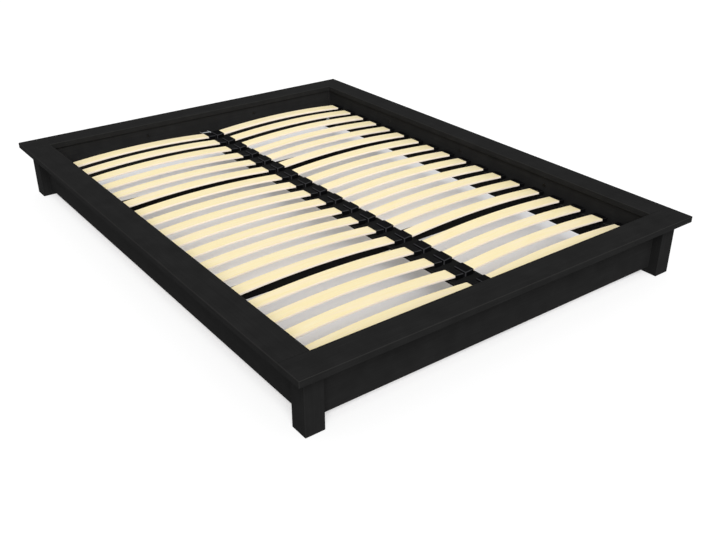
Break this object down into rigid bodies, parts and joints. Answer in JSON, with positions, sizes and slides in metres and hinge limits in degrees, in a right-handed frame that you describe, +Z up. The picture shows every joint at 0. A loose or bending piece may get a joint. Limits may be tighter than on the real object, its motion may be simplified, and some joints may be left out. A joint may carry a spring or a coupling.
{
  "type": "platform bed frame",
  "caption": "Low black wooden platform bed frame with a wide flat ledge, square legs and two columns of arched light-wood slats in plastic holders.",
  "frame": {"origin": "on the floor, under the middle of the bed's outline", "axes": "+Z up, +Y along the bed from the foot end to the head end, +X across the bed to the right as seen from the foot end"},
  "size_m": [1.6, 2.11, 0.217],
  "materials": {
    "black_lacquered_pine": "satin black lacquer",
    "black_lacquered_batten": "satin black lacquer",
    "bent_birch_slat": "sanded, clear",
    "black_plastic": "moulded matt",
    "zinc_plated_steel": "zinc plated"
  },
  "bodies": {
    "root": {"beam_hangers": "zinc_plated_steel", "centre_beam": "black_lacquered_batten", "centre_board": "black_lacquered_batten", "centre_slat_holders": "black_plastic", "corner_brackets": "zinc_plated_steel", "cross_beam_foot": "black_lacquered_batten", "cross_beam_head": "black_lacquered_batten", "foot_ledge": "black_lacquered_pine", "foot_rail": "black_lacquered_pine", "head_ledge": "black_lacquered_pine", "head_rail": "black_lacquered_pine", "leg_foot_left": "black_lacquered_pine", "leg_foot_right": "black_lacquered_pine", "leg_head_left": "black_lacquered_pine", "leg_head_right": "black_lacquered_pine", "side_ledge_left": "black_lacquered_pine", "side_ledge_right": "black_lacquered_pine", "side_rail_left": "black_lacquered_pine", "side_rail_right": "black_lacquered_pine", "slat_bearer_left": "black_lacquered_batten", "slat_bearer_right": "black_lacquered_batten", "slat_caps_left": "black_plastic", "slat_caps_right": "black_plastic", "slat_left_01": "bent_birch_slat", "slat_left_02": "bent_birch_slat", "slat_left_03": "bent_birch_slat", "slat_left_04": "bent_birch_slat", "slat_left_05": "bent_birch_slat", "slat_left_06": "bent_birch_slat", "slat_left_07": "bent_birch_slat", "slat_left_08": "bent_birch_slat", "slat_left_09": "bent_birch_slat", "slat_left_10": "bent_birch_slat", "slat_left_11": "bent_birch_slat", "slat_left_12": "bent_birch_slat", "slat_left_13": "bent_birch_slat", "slat_left_14": "bent_birch_slat", "slat_left_15": "bent_birch_slat", "slat_left_16": "bent_birch_slat", "slat_left_17": "bent_birch_slat", "slat_left_18": "bent_birch_slat", "slat_right_01": "bent_birch_slat", "slat_right_02": "bent_birch_slat", "slat_right_03": "bent_birch_slat", "slat_right_04": "bent_birch_slat", "slat_right_05": "bent_birch_slat", "slat_right_06": "bent_birch_slat", "slat_right_07": "bent_birch_slat", "slat_right_08": "bent_birch_slat", "slat_right_09": "bent_birch_slat", "slat_right_10": "bent_birch_slat", "slat_right_11": "bent_birch_slat", "slat_right_12": "bent_birch_slat", "slat_right_13": "bent_birch_slat", "slat_right_14": "bent_birch_slat", "slat_right_15": "bent_birch_slat", "slat_right_16": "bent_birch_slat", "slat_right_17": "bent_birch_slat", "slat_right_18": "bent_birch_slat"}
  },
  "joints": []
}
